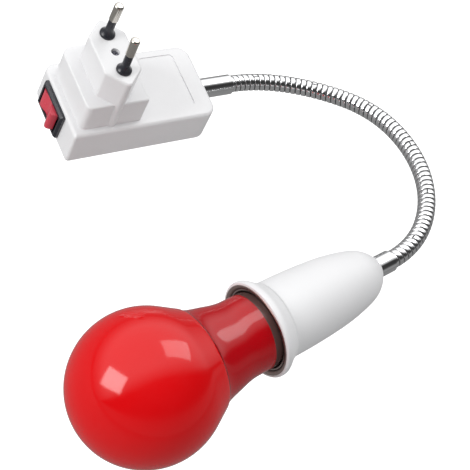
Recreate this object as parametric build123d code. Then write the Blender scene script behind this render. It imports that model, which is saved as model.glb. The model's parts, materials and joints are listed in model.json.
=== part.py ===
"""Plug-in gooseneck lamp holder with a red safelight lamp, in millimetres.

The pins point up (+Z), X runs from the rocker switch to the neck and Y runs through both pins. Heights in
this script are measured from the adapter's back, which is drawn on z = 0. The finished parts are lowered by
the plug face's height, so the origin is on the plug face, midway between the pins, where a wall socket
holds the part. The neck leaves along +X, climbs a little while it turns back, and the lamp's globe is level
with the adapter's back.
"""
from build123d import *
from math import asin, cos, degrees, radians, sin, tan
import os

# Adapter housing
BOX_BACK_X = -18.5
BOX_FRONT_X = 53.0
BOX_HALF_WIDTH = 20.0
BOX_HEIGHT = 17.5
BOX_DRAFT = 1.8
BOX_CORNERS = (1.6, 6.5, 6.5, 5.0)
TOP_EDGE_ROUND = 1.6
WALL = 2.2
REBATE_WALL = 1.2

# Stepped boss: a square platform and the pointed plug nose that runs through it
PLATFORM_BACK_X = -14.8
PLATFORM_FRONT_X = 14.6
PLATFORM_LOW_Y = -16.4
PLATFORM_HIGH_Y = 17.0
PLATFORM_TOP = 32.1
PLATFORM_DRAFT = 1.0
PLATFORM_CORNERS = (3.0, 1.0, 3.5, 5.0)
NOSE_TOP = 47.3
NOSE_HALF_WIDTH = 8.7
NOSE_HALF_LENGTH = 18.3
NOSE_SHOULDER_Y = 9.8
NOSE_DRAFT = 0.4
NOSE_EDGE_ROUND = 1.0
NOSE_TIP_ROUND = 2.4
NOSE_SHOULDER_ROUND = 2.0
PLATFORM_EDGE_ROUND = 0.8

# Rating field: a shallow bare recess with a round corner, on the box's top
FIELD_X = 34.5
FIELD_Y = 1.2
FIELD_LENGTH = 18.0
FIELD_WIDTH = 28.6
FIELD_CORNER = 2.0
FIELD_DEPTH = 0.35

# Back cover with the screw post, and the screw
COVER_THICKNESS = 2.5
COVER_RELIEF = 0.8
POST_R = 3.2
SCREW_HEAD_R = 1.75
SCREW_HEAD = 1.2
SCREW_HOLE_R = 1.9
SCREW_HEAD_DEPTH = 2.8
SCREW_BOSS_R = 3.6
SCREW_BOSS_DEPTH = 5.0
SCREW_R = 1.1
SCREW_LENGTH = 20.0
SCREW_SLOT = 0.5
SCREW_SLOT_TURN = 25.0
POST_GAP = 3.0

# Pins, 4 mm with a 19 mm reach, that lean together as on a two-pin plug
PIN_Y = 9.4
PIN_R = 2.0
PIN_REACH = 19.0
PIN_LEAN = 1.8
PIN_CORE_R = 1.3
SLEEVE_R = 1.75
SLEEVE_REACH = 10.0
SLEEVE_FLANGE_R = 4.0
SLEEVE_FLANGE = 1.4
SLEEVE_SEAT_R = 2.9
PIN_COLLAR_R = 2.4
PIN_COLLAR = 1.2
PIN_COLLAR_GAP = 0.1
PIN_TAIL_Z = 40.0
NOSE_FACE_WALL = 2.6

# Rocker switch in the end wall, 21 by 15 mm bezel
SWITCH_Y = 1.8
SWITCH_Z = 8.7
BEZEL_LENGTH = 21.0
BEZEL_WIDTH = 15.0
BEZEL_PROUD = 2.0
BEZEL_EDGE = 0.9
BEZEL_CORNER = 1.0
SWITCH_BODY_LENGTH = 19.0
SWITCH_BODY_WIDTH = 12.6
SWITCH_BODY_DEPTH = 10.0
SWITCH_WELL_LENGTH = 17.4
SWITCH_WELL_WIDTH = 10.8
SWITCH_WELL_DEPTH = 7.5
ROCKER_LENGTH = 15.0
ROCKER_WIDTH = 10.2
ROCKER_TILT = 11.0
ROCKER_PIVOT_DEPTH = 2.0
ROCKER_CREST = 1.65
ROCKER_VALLEY = -0.2
ROCKER_HUB_R = 2.6
TRUNNION_R = 1.2
TRUNNION_PLAY = 0.05
TRUNNION_LENGTH = 0.7
TERMINAL_OFFSET = 5.0
TERMINAL_WIDTH = 4.8
TERMINAL_THICKNESS = 0.8
TERMINAL_LENGTH = 4.0

# Gooseneck: six stretches of equal length, each turning from one direction to the next
NECK_START_X = 70.9
NECK_STRETCH = 29.2
NECK_HEADINGS = (0, -30, -55, -84, -109, -137, -171)
NECK_CLIMBS = (0, 12.5, 20.5, 14.5, 8.5, 3.0, -3.8)
NECK_R = 4.0
NECK_ROOT_R = 3.45
NECK_BORE_R = 2.2
NECK_TURNS = 11
NECK_GROOVE = 0.85
NECK_STUB = 6.0
FLEX_R = 1.7

# Ferrules, smooth sleeves at both ends of the neck, with a threaded tail and a nut
FERRULE_R = 4.7
FERRULE_EDGE = 0.4
FERRULE_TAIL_R = 4.0
NUT_ACROSS_FLATS = 11.0
NUT_THICKNESS = 3.4
PLUG_TAIL_X = 46.0
LEAD_SPLIT_X = 47.5

# Lamp and holder, along the lamp's axis. Stations are distances from the globe's centre towards the neck.
GLOBE_R = 30.0
GLOBE_TO_NECK = 123.3
GLOBE_TANGENT = 15.0
SEAM = 22.7
SEAM_STEP = 0.3
NECK_CURVE_POINT = (17.9, 32.0)
THROAT = 43.0
LAMP_NECK_R = 16.0
LAMP_SHOULDER = 50.5
LAMP_SHOULDER_POINT = (15.2, 53.2)
CAP_START = 54.5
CAP_THREAD_START = 57.0
CAP_THREAD_END = 73.0
CAP_END = 75.5
TIP_START = 79.2
LAMP_END = 80.8
CAP_CREST_R = 13.1
CAP_ROOT_R = 12.4
CAP_INNER_R = 12.0
CAP_PITCH = 3.629
TIP_R = 4.6
TIP_FLAT_R = 3.2

RIM = 51.0
RIM_R = 19.9
RIM_WALL = 1.6
FUNNEL_START = 59.9
WAIST = 61.5
WAIST_R = 16.3
BARREL = 86.0
BARREL_R = 15.3
SHOULDER = 104.0
SHOULDER_R = 12.2
SHELL_REAR = 114.4
REAR_FLAT_R = 5.2
SHELL_BORE_R = 14.4
LEDGE = 85.0
LEDGE_R = 12.6
REAR_WALL = 107.5
REAR_WALL_R = 8.6

BASE_FRONT = 83.0
BASE_REAR = 91.0
BASE_FLANGE_R = 14.2
BASE_R = 12.4
SOCKET_START = 61.0
SOCKET_MOUTH = 51.7
SOCKET_MOUTH_GAP = 0.28
SOCKET_R = 13.4
SOCKET_WALL = 0.4
SOCKET_FOOT_R = 12.0
SOCKET_EAR_WIDTH = 4.4
TONGUE_WIDTH = 5.0
TONGUE_THICKNESS = 0.4
TONGUE_ROOT_Y = -8.0
TONGUE_BEND_Y = 4.2
TONGUE_REACH = 2.6
TONGUE_TOUCH = 0.1
RIVET_R = 1.1
RIVET_HEAD_R = 1.9
RIVET_HEAD = 0.6
CONTACT_RIVET_Y = -6.2
SHELL_RIVET_Y = 10.6
BASE_SCREW_X = 9.4
BASE_SCREW_R = 1.25
BASE_SCREW_HEAD_R = 2.2
BASE_SCREW_HEAD = 1.4
BRACKET_THICKNESS = 1.0
BRACKET_WIDTH = 10.0
BRACKET_ARM = 6.0
BRACKET_HALF_SPAN = 7.6
BRACKET_FOOT = 11.4

# Wires inside the adapter and the holder
LEAD_R = 0.8
LEAD_BEND = 2.0
SHORT_LEAD_BEND = 1.2
LEAD_SPREAD = 0.9


def direction(heading, climb):
    """Unit vector for a heading turned from +X and a climb above the horizontal, in degrees."""
    level = cos(radians(climb))
    return Vector(cos(radians(heading)) * level, sin(radians(heading)) * level, sin(radians(climb)))


class Stretch:
    """One stretch of the neck's centre line: an arc between two directions."""

    def __init__(self, start, first, last, length):
        self.start = start
        self.first = first
        self.length = length
        self.angle = radians(first.get_angle(last))
        self.radius = length / self.angle
        self.inward = (last - first * first.dot(last)).normalized()

    def point(self, distance):
        turn = distance / self.radius
        along, across = self.radius * sin(turn), self.radius * (1 - cos(turn))
        return self.start + self.first * along + self.inward * across

    def tangent(self, distance):
        turn = distance / self.radius
        return self.first * cos(turn) + self.inward * sin(turn)

    def plane(self, distance):
        """The plane across the neck at a distance along the stretch."""
        return Plane(origin=self.point(distance), z_dir=self.tangent(distance))

    def rod(self, radius):
        """A round rod along the whole stretch."""
        centre = self.start + self.inward * self.radius
        section = Plane(origin=self.start, z_dir=self.first) * Circle(radius)
        bend = Axis(centre, self.first.cross(self.inward))
        return revolve(section, axis=bend, revolution_arc=degrees(self.angle))


def neck_stretches(start):
    """The neck's stretches in order, from the adapter to the holder."""
    ways = [direction(heading, climb) for heading, climb in zip(NECK_HEADINGS, NECK_CLIMBS)]
    stretches = []
    for first, last in zip(ways, ways[1:]):
        stretches.append(Stretch(start, first, last, NECK_STRETCH))
        start = stretches[-1].point(NECK_STRETCH)
    return stretches


# The neck leaves the box at the height that lets the globe rest on the same surface as the adapter.
LAMP_WAY = direction(NECK_HEADINGS[-1], NECK_CLIMBS[-1])
NECK_RISE = neck_stretches(Vector(0, 0, 0))[-1].point(NECK_STRETCH).Z
NECK_Z = GLOBE_R - NECK_RISE - LAMP_WAY.Z * GLOBE_TO_NECK
NECK = neck_stretches(Vector(NECK_START_X, 0, NECK_Z))
GLOBE_CENTRE = NECK[-1].point(NECK_STRETCH) + LAMP_WAY * GLOBE_TO_NECK

# Frame of the lamp and holder: origin at the globe's centre, +Z towards the neck, +X level.
LAMP = Plane(origin=GLOBE_CENTRE, x_dir=LAMP_WAY.cross(Vector(0, 0, 1)), z_dir=-LAMP_WAY)

# The globe's tangent circle, and its radius where the straight taper ends at the seam
TANGENT_R = (GLOBE_R ** 2 - GLOBE_TANGENT ** 2) ** 0.5
SEAM_R = TANGENT_R - (SEAM - GLOBE_TANGENT) * GLOBE_TANGENT / TANGENT_R

# Frame of the switch: origin on the drafted end wall, +Z outwards, +X along the bezel.
SWITCH_FACE_X = BOX_BACK_X + SWITCH_Z * sin(radians(BOX_DRAFT))
OUTWARDS = Vector(-cos(radians(BOX_DRAFT)), 0, sin(radians(BOX_DRAFT)))
SWITCH = Plane(origin=(SWITCH_FACE_X, SWITCH_Y, SWITCH_Z), x_dir=(0, -1, 0), z_dir=OUTWARDS)


def cylinder(radius, low, high, x=0.0, y=0.0):
    """An upright round bar between two heights."""
    return Pos(x, y, low) * Cylinder(radius, high - low, align=(Align.CENTER, Align.CENTER, Align.MIN))


def block(x0, x1, y0, y1, z0, z1):
    """A rectangular bar between two corners."""
    size = Box(x1 - x0, y1 - y0, z1 - z0, align=(Align.MIN, Align.MIN, Align.MIN))
    return Pos(x0, y0, z0) * size


def turned(outline):
    """A solid turned about Z from a closed outline of (radius, height) curves."""
    return revolve(make_face(outline), axis=Axis.Z)


def turned_points(*points):
    """A solid turned about Z from straight-sided (radius, height) points."""
    return turned(Plane.XZ * Polyline(*points, close=True))


def plan(x0, x1, y0, y1, corners):
    """A rectangle with its own radius at each corner, from low x, low y round to low x, high y."""
    points = [(x0, y0), (x1, y0), (x1, y1), (x0, y1)]
    return make_face(FilletPolyline(*points, radius=corners, close=True))


def box_plan(inset=0.0):
    corners = [max(corner - inset, 0.5) for corner in BOX_CORNERS]
    reach = BOX_HALF_WIDTH - inset
    return plan(BOX_BACK_X + inset, BOX_FRONT_X - inset, -reach, reach, corners)


def platform_plan(inset=0.0):
    corners = [max(corner - inset, 0.5) for corner in PLATFORM_CORNERS]
    low, high = PLATFORM_LOW_Y + inset, PLATFORM_HIGH_Y - inset
    return plan(PLATFORM_BACK_X + inset, PLATFORM_FRONT_X - inset, low, high, corners)


def drafted(face, bottom, top, draft):
    """A moulded block on a plan face, a little smaller at its top."""
    return extrude(Pos(0, 0, bottom) * face, top - bottom, taper=draft)


def pointed_nose(inset, bottom, top):
    """The plug's long six-sided body, pointed at both ends, a little smaller at its top."""
    half, tip, shoulder = NOSE_HALF_WIDTH - inset, NOSE_HALF_LENGTH - inset, NOSE_SHOULDER_Y - inset
    points = [(0, -tip), (half, -shoulder), (half, shoulder), (0, tip), (-half, shoulder), (-half, -shoulder)]
    nose = drafted(make_face(Polyline(*points, close=True)), bottom, top, NOSE_DRAFT)
    for low, high, corner in ((0, half / 2, NOSE_TIP_ROUND), (half / 2, half + 1, NOSE_SHOULDER_ROUND)):
        upright = nose.edges().filter_by(lambda edge: abs((edge @ 1 - edge @ 0).Z) > (top - bottom) / 2
                                         and low <= abs(edge.center().X) < high)
        nose = fillet(upright, max(corner - inset, 0.4))
    return nose


def round_top(solid, height, radius):
    """Rounds the edges of the face that lies at a height."""
    edges = solid.edges().filter_by(lambda edge: abs(edge.center().Z - height) < 0.01)
    return fillet(edges, radius)


def plug_housing():
    box = round_top(drafted(box_plan(), 0, BOX_HEIGHT, BOX_DRAFT), BOX_HEIGHT, TOP_EDGE_ROUND)
    platform = drafted(platform_plan(), BOX_HEIGHT - WALL, PLATFORM_TOP, PLATFORM_DRAFT)
    platform = round_top(platform, PLATFORM_TOP, PLATFORM_EDGE_ROUND)
    nose = round_top(pointed_nose(0, BOX_HEIGHT - WALL, NOSE_TOP), NOSE_TOP, NOSE_EDGE_ROUND)
    body = box + platform + nose

    body -= drafted(box_plan(WALL), 0, BOX_HEIGHT - WALL, BOX_DRAFT)
    body -= extrude(box_plan(REBATE_WALL), COVER_THICKNESS)
    body -= drafted(platform_plan(WALL), BOX_HEIGHT - WALL, PLATFORM_TOP - WALL, PLATFORM_DRAFT)
    body -= pointed_nose(WALL, PLATFORM_TOP - WALL, NOSE_TOP - NOSE_FACE_WALL)

    body += cylinder(SCREW_BOSS_R, NOSE_TOP - SCREW_BOSS_DEPTH, NOSE_TOP - NOSE_FACE_WALL)
    body -= cylinder(SCREW_HOLE_R, NOSE_TOP - SCREW_HEAD_DEPTH, NOSE_TOP)
    body -= cylinder(SCREW_R, NOSE_TOP - SCREW_BOSS_DEPTH, NOSE_TOP)
    for side in (-1, 1):
        body -= cylinder(SLEEVE_SEAT_R, NOSE_TOP - NOSE_FACE_WALL, NOSE_TOP, y=side * PIN_Y)

    field = Pos(FIELD_X, FIELD_Y) * RectangleRounded(FIELD_LENGTH, FIELD_WIDTH, FIELD_CORNER)
    body -= Pos(0, 0, BOX_HEIGHT - FIELD_DEPTH) * extrude(field, FIELD_DEPTH)

    window = Box(SWITCH_BODY_LENGTH, SWITCH_BODY_WIDTH, 2 * WALL + 2)
    body -= SWITCH.location * window
    outlet = Plane(origin=(BOX_FRONT_X - 2 * WALL, 0, NECK_Z), z_dir=(1, 0, 0))
    body -= outlet.location * cylinder(FERRULE_TAIL_R, 0, 3 * WALL)
    return body


def back_cover():
    """A plate in the housing's rebate, with the screw's post and a relief that clears the switch."""
    cover = extrude(box_plan(REBATE_WALL), COVER_THICKNESS)
    low, high = SWITCH_Y - SWITCH_BODY_LENGTH / 2 - 0.5, SWITCH_Y + SWITCH_BODY_LENGTH / 2 + 0.5
    reach = BOX_BACK_X + SWITCH_BODY_DEPTH + 1.0
    cover -= block(BOX_BACK_X, reach, low, high, COVER_THICKNESS - COVER_RELIEF, COVER_THICKNESS)
    cover = cover + cylinder(POST_R, COVER_THICKNESS, NOSE_TOP - SCREW_BOSS_DEPTH)
    return cover - cylinder(SCREW_R, NOSE_TOP - SCREW_LENGTH - POST_GAP, NOSE_TOP)


def housing_screw():
    """A small screw with a crossed recess, sunk in its hole in the plug face."""
    seat = NOSE_TOP - SCREW_HEAD_DEPTH
    screw = cylinder(SCREW_HEAD_R, seat, seat + SCREW_HEAD) + cylinder(SCREW_R, NOSE_TOP - SCREW_LENGTH, seat)
    slot = Box(1.4 * SCREW_HEAD_R, SCREW_SLOT, SCREW_HEAD)
    for turn in (SCREW_SLOT_TURN, SCREW_SLOT_TURN + 90):
        screw -= Pos(0, 0, seat + SCREW_HEAD) * Rot(0, 0, turn) * slot
    return screw


def lean(solid, side):
    """Tips a solid towards the other pin about the pin's foot on the plug face."""
    foot = Pos(0, side * PIN_Y, NOSE_TOP)
    return foot * Rot(side * PIN_LEAN, 0, 0) * foot.inverse() * solid


def pin(side):
    """A pin with a domed bare end, a thinner core in its sleeve, and a collar and tail inside."""
    dome = 1.0
    end = NOSE_TOP + PIN_REACH
    sleeve_end = NOSE_TOP + SLEEVE_REACH
    collar = NOSE_TOP - NOSE_FACE_WALL - PIN_COLLAR_GAP
    outline = Plane.XZ * (
        Polyline((0, end), (0, PIN_TAIL_Z), (PIN_CORE_R, PIN_TAIL_Z), (PIN_CORE_R, collar - PIN_COLLAR),
                 (PIN_COLLAR_R, collar - PIN_COLLAR), (PIN_COLLAR_R, collar), (PIN_CORE_R, collar),
                 (PIN_CORE_R, sleeve_end), (PIN_R, sleeve_end), (PIN_R, end - dome))
        + CenterArc((PIN_R - dome, end - dome), dome, 0, 90)
        + Line((PIN_R - dome, end), (0, end))
    )
    return lean(Pos(0, side * PIN_Y) * turned(outline), side)


def pin_sleeve(side):
    """The black sleeve: a domed flange on the plug face, a collar in its hole and a slim tube."""
    top = NOSE_TOP + SLEEVE_FLANGE
    flange = Plane.XZ * (
        Polyline((0, top), (0, NOSE_TOP), (SLEEVE_FLANGE_R, NOSE_TOP),
                 (SLEEVE_FLANGE_R, NOSE_TOP + 0.7))
        + ThreePointArc((SLEEVE_FLANGE_R, NOSE_TOP + 0.7), (3.5, top - 0.15), (2.4, top))
        + Line((2.4, top), (0, top))
    )
    seat = cylinder(SLEEVE_SEAT_R, NOSE_TOP - NOSE_FACE_WALL, NOSE_TOP)
    low = Pos(0, side * PIN_Y) * (turned(flange) + seat)
    tube = lean(cylinder(SLEEVE_R, NOSE_TOP - 1, NOSE_TOP + SLEEVE_REACH, y=side * PIN_Y), side)
    return low + tube - lean(cylinder(PIN_CORE_R, PIN_TAIL_Z, NOSE_TOP + SLEEVE_REACH, y=side * PIN_Y), side)


def switch_frame():
    """The switch's black body: bezel, box behind the wall and a well for the rocker."""
    bezel = extrude(RectangleRounded(BEZEL_LENGTH, BEZEL_WIDTH, BEZEL_CORNER), BEZEL_PROUD)
    bezel = chamfer(bezel.edges().group_by(Axis.Z)[-1], BEZEL_EDGE)
    box = Pos(0, 0, -SWITCH_BODY_DEPTH / 2) * Box(SWITCH_BODY_LENGTH, SWITCH_BODY_WIDTH, SWITCH_BODY_DEPTH)
    well_height = BEZEL_PROUD + SWITCH_WELL_DEPTH
    well = Box(SWITCH_WELL_LENGTH, SWITCH_WELL_WIDTH, well_height)
    frame = bezel + box - Pos(0, 0, BEZEL_PROUD - well_height / 2) * well
    bearing = Cylinder(TRUNNION_R + TRUNNION_PLAY, SWITCH_BODY_WIDTH)
    frame -= Pos(0, 0, -ROCKER_PIVOT_DEPTH) * Rot(90, 0, 0) * bearing
    return SWITCH.location * frame


def switch_rocker():
    """The red rocker: two flats that meet in a shallow valley, on two trunnions."""
    half = ROCKER_LENGTH / 2
    drop = ROCKER_PIVOT_DEPTH
    crest, valley = BEZEL_PROUD + ROCKER_CREST, BEZEL_PROUD + ROCKER_VALLEY
    skirt = BEZEL_PROUD - 1.8
    hub, foot = ROCKER_HUB_R, -drop - 2 * TRUNNION_R
    outline = Polyline((-half, crest), (0, valley), (half, crest), (half + 0.2, skirt), (hub, -drop),
                       (hub, foot), (-hub, foot), (-hub, -drop), (-half - 0.2, skirt), close=True)
    paddle = extrude(Plane.XZ * make_face(outline), ROCKER_WIDTH / 2, both=True)
    rim = paddle.edges().filter_by(lambda edge: edge.center().Z > valley - 0.01 and abs(edge.center().X) > 1)
    paddle = fillet(rim, 0.5)
    axle = Rot(90, 0, 0) * Cylinder(TRUNNION_R, ROCKER_WIDTH + 2 * TRUNNION_LENGTH)
    rocker = paddle + Pos(0, 0, -drop) * axle
    pivot = Pos(0, 0, -drop)
    return SWITCH.location * pivot * Rot(0, -ROCKER_TILT, 0) * pivot.inverse() * rocker


def switch_terminal(side):
    """A flat blade out of the switch's back."""
    blade = Box(TERMINAL_THICKNESS, TERMINAL_WIDTH, TERMINAL_LENGTH)
    depth = SWITCH_BODY_DEPTH + TERMINAL_LENGTH / 2
    return SWITCH.location * (Pos(side * TERMINAL_OFFSET, 0, -depth) * blade)


def lead(points, bend):
    """A round wire along straight runs with one bend radius."""
    path = FilletPolyline(*points, radius=bend)
    section = Plane(origin=path @ 0, z_dir=path % 0) * Circle(LEAD_R)
    return sweep(section, path=path)


def terminal_point(side, across, depth):
    """A point on a switch blade: across its thickness, and at a depth behind the switch's body."""
    return SWITCH.from_local_coords(Vector(side * TERMINAL_OFFSET + across, 0, -SWITCH_BODY_DEPTH - depth))


def pin_tail(side, drop):
    """A point on the pin's line, below the end of its tail."""
    below = NOSE_TOP - PIN_TAIL_Z + drop
    lean_angle = radians(PIN_LEAN)
    return Vector(0, side * (PIN_Y + below * sin(lean_angle)), NOSE_TOP - below * cos(lean_angle))


def lead_line():
    """From the front pin down beside the post to the side of the nearer switch blade."""
    end = terminal_point(1, TERMINAL_THICKNESS / 2, TERMINAL_LENGTH / 2)
    low = end.Y - 5.0
    return lead([pin_tail(-1, 0), pin_tail(-1, 22), (end.X, low, end.Z), end], LEAD_BEND)


def lead_switched():
    """From the end of the other blade to the neck."""
    start, out = terminal_point(-1, 0, TERMINAL_LENGTH), terminal_point(-1, 0, TERMINAL_LENGTH + 5)
    end = Vector(LEAD_SPLIT_X, -LEAD_SPREAD, NECK_Z)
    return lead([start, out, (26, 1, 8), (39, -LEAD_SPREAD, NECK_Z), end], LEAD_BEND)


def lead_neutral():
    """From the rear pin down and along the housing to the neck."""
    end = Vector(LEAD_SPLIT_X, LEAD_SPREAD, NECK_Z)
    path = [pin_tail(1, 0), pin_tail(1, 18), (8, PIN_Y + 1, 12), (26, 6, 9), (39, LEAD_SPREAD, NECK_Z), end]
    return lead(path, LEAD_BEND)


def ferrule(length, tail):
    """A smooth sleeve about Z with a socket for the neck at its top and a threaded tail below."""
    edge = FERRULE_EDGE
    return turned_points(
        (NECK_BORE_R, -tail), (FERRULE_TAIL_R, -tail), (FERRULE_TAIL_R, 0), (FERRULE_R - edge, 0),
        (FERRULE_R, edge), (FERRULE_R, length - edge), (FERRULE_R - edge, length), (NECK_ROOT_R, length),
        (NECK_ROOT_R, length - NECK_STUB), (NECK_BORE_R, length - NECK_STUB))


def nut():
    """A thin hexagon nut about Z, standing on z = 0."""
    hexagon = RegularPolygon(NUT_ACROSS_FLATS / 2, 6, major_radius=False)
    return extrude(hexagon, NUT_THICKNESS) - cylinder(FERRULE_TAIL_R, 0, NUT_THICKNESS)


def end_wall_x(height, inset=0.0):
    """The x of the box's drafted neck end at a height, or of its inner face."""
    return BOX_FRONT_X - inset - height * tan(radians(BOX_DRAFT))


def plug_ferrule():
    face = end_wall_x(NECK_Z - FERRULE_R)
    place = Plane(origin=(face, 0, NECK_Z), z_dir=(1, 0, 0))
    return place.location * ferrule(NECK_START_X - face, face - PLUG_TAIL_X)


def plug_nut():
    inner = end_wall_x(NECK_Z + NUT_ACROSS_FLATS / 2 / cos(radians(30)), WALL)
    place = Plane(origin=(inner - NUT_THICKNESS, 0, NECK_Z), z_dir=(1, 0, 0))
    return place.location * nut()


def neck_groove():
    """The V-groove between two wound turns, as a ring about Z."""
    slope = NECK_GROOVE / 2 / (NECK_R - NECK_ROOT_R)
    outer = NECK_R + 0.4
    flare = (outer - NECK_ROOT_R) * slope
    return turned_points((NECK_ROOT_R, 0), (outer, -flare), (outer, flare))


def neck_stub(plane, low, high):
    """The plain end of the wound tube that sits in a ferrule."""
    return plane.location * (cylinder(NECK_ROOT_R, low, high) - cylinder(NECK_BORE_R, low, high))


def neck_span(index):
    """One stretch of the wound tube: a bent tube grooved between its turns, with half grooves at its ends."""
    stretch = NECK[index]
    groove = neck_groove()
    stations = [count * stretch.length / NECK_TURNS for count in range(NECK_TURNS + 1)]
    tube = stretch.rod(NECK_R) - stretch.rod(NECK_BORE_R)
    tube = tube.cut(*[stretch.plane(station).location * groove for station in stations])
    if index == 0:
        tube += neck_stub(stretch.plane(0), -NECK_STUB, 0)
    if index == len(NECK) - 1:
        tube += neck_stub(stretch.plane(stretch.length), 0, NECK_STUB)
    return tube


def neck_flex(index):
    """The twin lead inside one stretch of the neck."""
    stretch = NECK[index]
    flex = stretch.rod(FLEX_R)
    if index == 0:
        flex += stretch.plane(0).location * cylinder(FLEX_R, LEAD_SPLIT_X - NECK_START_X, 0)
    if index == len(NECK) - 1:
        flex += stretch.plane(stretch.length).location * cylinder(FLEX_R, 0, GLOBE_TO_NECK - REAR_WALL + 4.0)
    return flex


def holder_ferrule():
    tail = 4.0 + SHELL_REAR - REAR_WALL + BRACKET_THICKNESS
    return LAMP.location * Pos(0, 0, SHELL_REAR) * ferrule(GLOBE_TO_NECK - SHELL_REAR, tail)


def holder_nut():
    return LAMP.location * Pos(0, 0, REAR_WALL - BRACKET_THICKNESS - NUT_THICKNESS) * nut()


def funnel_arc(gap, end):
    """The curve of the shell's funnel from its bore to a station, or one inside it by a gap."""
    flare, depth = RIM_R - RIM_WALL - SHELL_BORE_R, FUNNEL_START - RIM
    bend = (flare ** 2 + depth ** 2) / (2 * flare)
    turn = asin((FUNNEL_START - end) / (bend + gap))
    return CenterArc((SHELL_BORE_R + bend, FUNNEL_START), bend + gap, 180, degrees(turn))


def holder_shell():
    """The white shell: flared rim, barrel body, rounded rear, and a stepped bore."""
    flare = TangentArc((WAIST_R, WAIST), (RIM_R, RIM), tangent=(0, -1))
    barrel = TangentArc((WAIST_R, WAIST), (BARREL_R, BARREL), tangent=(0, 1))
    taper = TangentArc((BARREL_R, BARREL), (SHOULDER_R, SHOULDER), tangent=barrel % 1)
    rear = TangentArc((SHOULDER_R, SHOULDER), (REAR_FLAT_R, SHELL_REAR), tangent=taper % 1)
    back = Polyline((REAR_FLAT_R, SHELL_REAR), (FERRULE_TAIL_R, SHELL_REAR), (FERRULE_TAIL_R, REAR_WALL),
                    (REAR_WALL_R, REAR_WALL), (9.6, 104.5), (LEDGE_R, 96.0), (LEDGE_R, LEDGE),
                    (SHELL_BORE_R, LEDGE), (SHELL_BORE_R, FUNNEL_START))
    funnel = funnel_arc(0, RIM)
    edge = Line((RIM_R - RIM_WALL, RIM), (RIM_R, RIM))
    return LAMP.location * turned(Plane.XZ * (flare + barrel + taper + rear + back + funnel + edge))


def contact_base():
    """The insulating disc that carries the contacts, seated on the shell's ledge."""
    disc = cylinder(BASE_FLANGE_R, BASE_FRONT, LEDGE) + cylinder(BASE_R, LEDGE, BASE_REAR)
    for side in (-1, 1):
        disc -= cylinder(BASE_SCREW_R, BASE_FRONT, BASE_REAR, x=side * BASE_SCREW_X)
        disc -= cylinder(BASE_SCREW_HEAD_R, BASE_FRONT, BASE_FRONT + BASE_SCREW_HEAD, x=side * BASE_SCREW_X)
    for y in (CONTACT_RIVET_Y, SHELL_RIVET_Y):
        disc -= cylinder(RIVET_R, BASE_FRONT, BASE_REAR, y=y)
    return LAMP.location * disc


def screw_shell():
    """The lamp socket's metal shell: a mouth that lines the funnel, a tube, a foot ring and a riveted ear."""
    wall = SOCKET_WALL
    outer, seat = SOCKET_R + wall, BASE_FRONT - wall
    outside = funnel_arc(SOCKET_MOUTH_GAP, SOCKET_MOUTH)
    inside = funnel_arc(SOCKET_MOUTH_GAP + wall, SOCKET_MOUTH)
    tube = Polyline(outside @ 0, (outer, SOCKET_START), (outer, BASE_FRONT), (SOCKET_FOOT_R, BASE_FRONT),
                    (SOCKET_FOOT_R, seat), (SOCKET_R, seat), (SOCKET_R, SOCKET_START), inside @ 0)
    shell = turned(Plane.XZ * (outside + Line(outside @ 1, inside @ 1) + inside + tube))
    half_ear = SOCKET_EAR_WIDTH / 2
    shell += block(-half_ear, half_ear, SHELL_RIVET_Y - half_ear, SOCKET_R, seat, BASE_FRONT)
    return LAMP.location * (shell - cylinder(RIVET_R, seat, BASE_FRONT, y=SHELL_RIVET_Y))


def centre_contact():
    """A bent spring strip, riveted at one end and touching the lamp's tip with the other."""
    low, thick, reach = BASE_FRONT, TONGUE_THICKNESS, TONGUE_REACH
    high = LAMP_END + TONGUE_TOUCH
    bend = -TONGUE_BEND_Y
    outline = Polyline((TONGUE_ROOT_Y, low), (bend, low), (-reach, high + thick), (reach, high + thick),
                       (reach, high), (-reach - 0.3, high), (bend - 0.3, low - thick),
                       (TONGUE_ROOT_Y, low - thick), close=True)
    strip = extrude(Plane.YZ * make_face(outline), TONGUE_WIDTH / 2, both=True)
    strip -= cylinder(RIVET_R, low - thick, low, y=CONTACT_RIVET_Y)
    return LAMP.location * strip


def rivet(y, seat):
    """A rivet through the base with a round head on its metal strip and a flat head behind."""
    return (cylinder(RIVET_R, seat, BASE_REAR, y=y) + cylinder(RIVET_HEAD_R, seat - RIVET_HEAD, seat, y=y)
            + cylinder(RIVET_HEAD_R, BASE_REAR, BASE_REAR + RIVET_HEAD, y=y))


def contact_rivets():
    contact = rivet(CONTACT_RIVET_Y, BASE_FRONT - TONGUE_THICKNESS)
    shell = rivet(SHELL_RIVET_Y, BASE_FRONT - SOCKET_WALL)
    return LAMP.location * Compound(children=[contact, shell])


def base_screw(side):
    head = cylinder(BASE_SCREW_HEAD_R, BASE_FRONT, BASE_FRONT + BASE_SCREW_HEAD, x=side * BASE_SCREW_X)
    shank = cylinder(BASE_SCREW_R, BASE_FRONT + BASE_SCREW_HEAD, BASE_REAR + 2.5, x=side * BASE_SCREW_X)
    slot = Pos(side * BASE_SCREW_X, 0, BASE_FRONT) * Box(5, 0.7, 1.2)
    return head + shank - slot


def base_screws():
    return LAMP.location * Compound(children=[base_screw(side) for side in (-1, 1)])


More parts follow.
